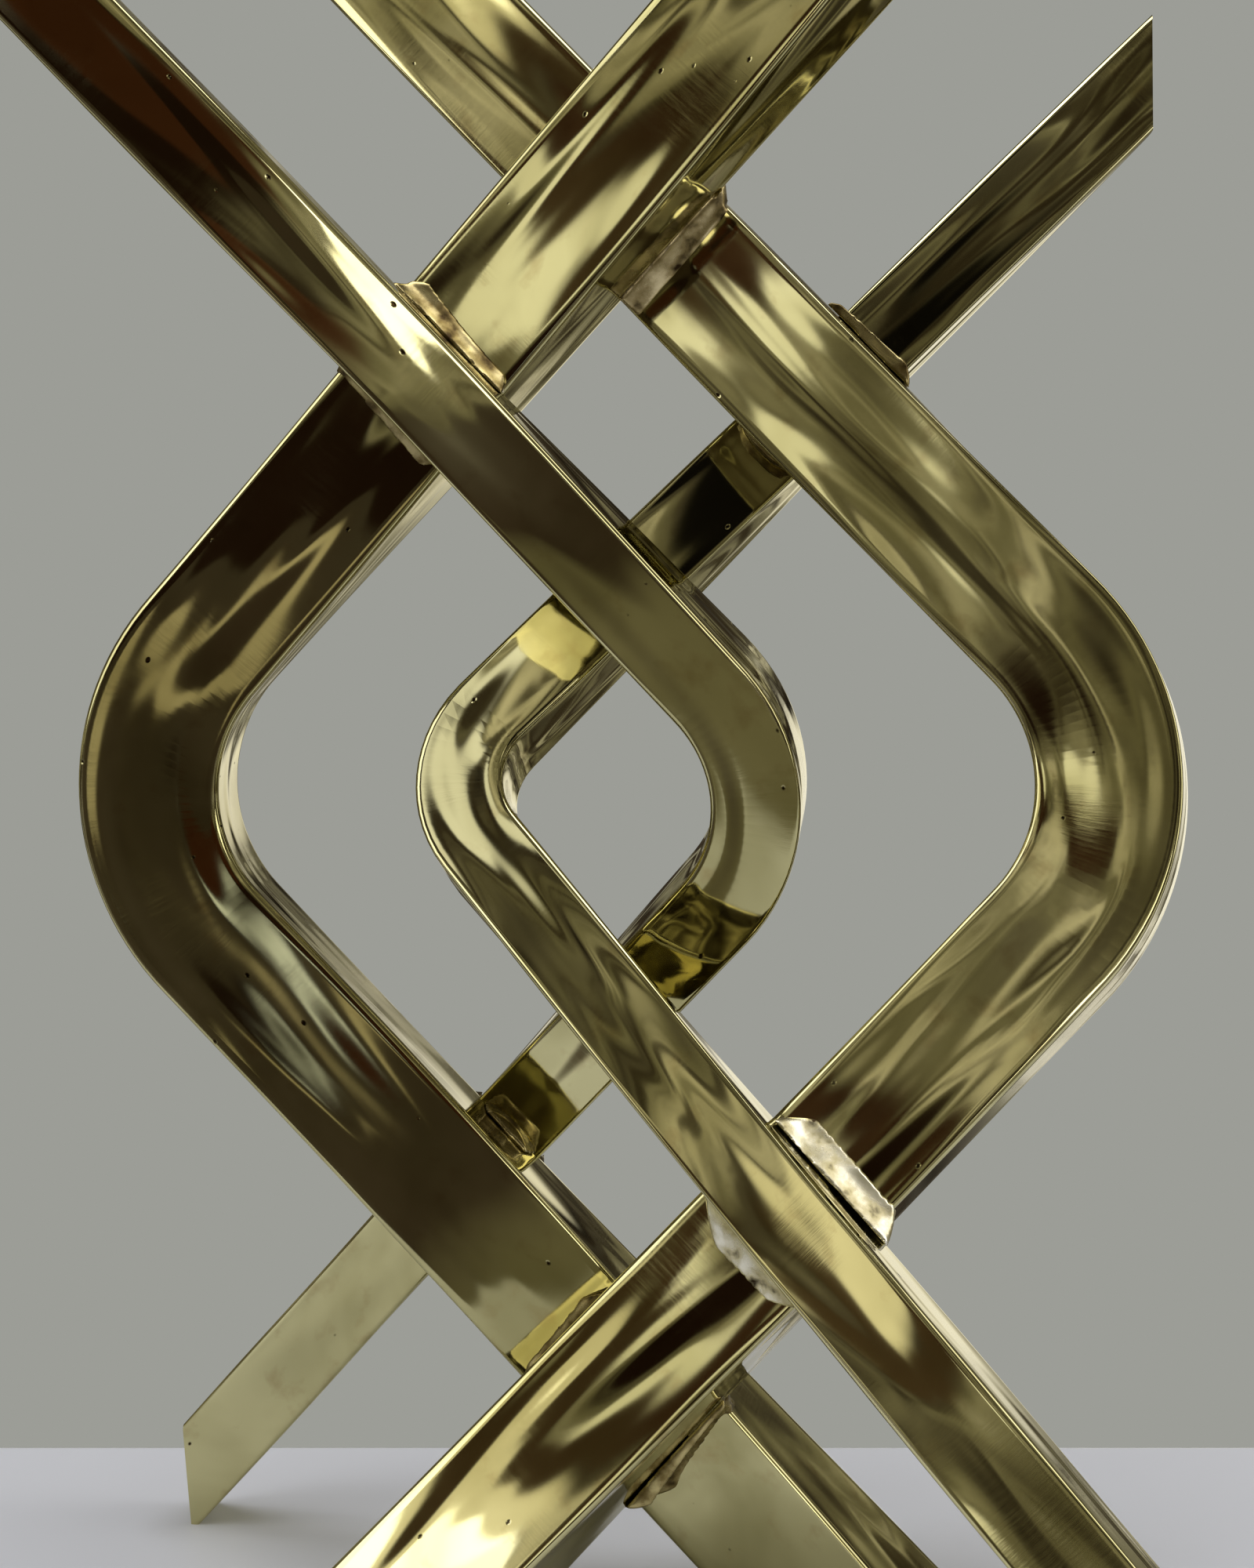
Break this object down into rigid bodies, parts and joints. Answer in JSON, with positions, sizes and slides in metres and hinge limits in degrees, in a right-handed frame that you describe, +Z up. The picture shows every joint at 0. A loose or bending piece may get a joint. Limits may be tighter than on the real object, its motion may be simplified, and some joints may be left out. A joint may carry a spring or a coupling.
{
  "type": "knotted bar sculpture",
  "caption": "Openwork table sculpture of bent rectangular brass bars that cross in front of and behind each other and are brazed where they touch.",
  "frame": {"origin": "on the table, below the middle of the sculpture", "axes": "+Z up, -Y towards the viewer of the picture's side, +X to that viewer's right"},
  "size_m": [0.1908, 0.1199, 0.284],
  "materials": {
    "polished_brass": "hand polished, with fine scratches and a few pits",
    "braze_brass": "brazed and ground, duller than the bars"
  },
  "bodies": {
    "root": {"inner_bar_right": "polished_brass", "inner_bar_left": "polished_brass", "outer_bar_right": "polished_brass", "outer_bar_left": "polished_brass", "braze_front_top": "braze_brass", "braze_centre_top": "braze_brass", "braze_back_top": "braze_brass", "braze_front_bottom": "braze_brass", "braze_centre_bottom": "braze_brass", "braze_back_bottom": "braze_brass"}
  },
  "joints": []
}
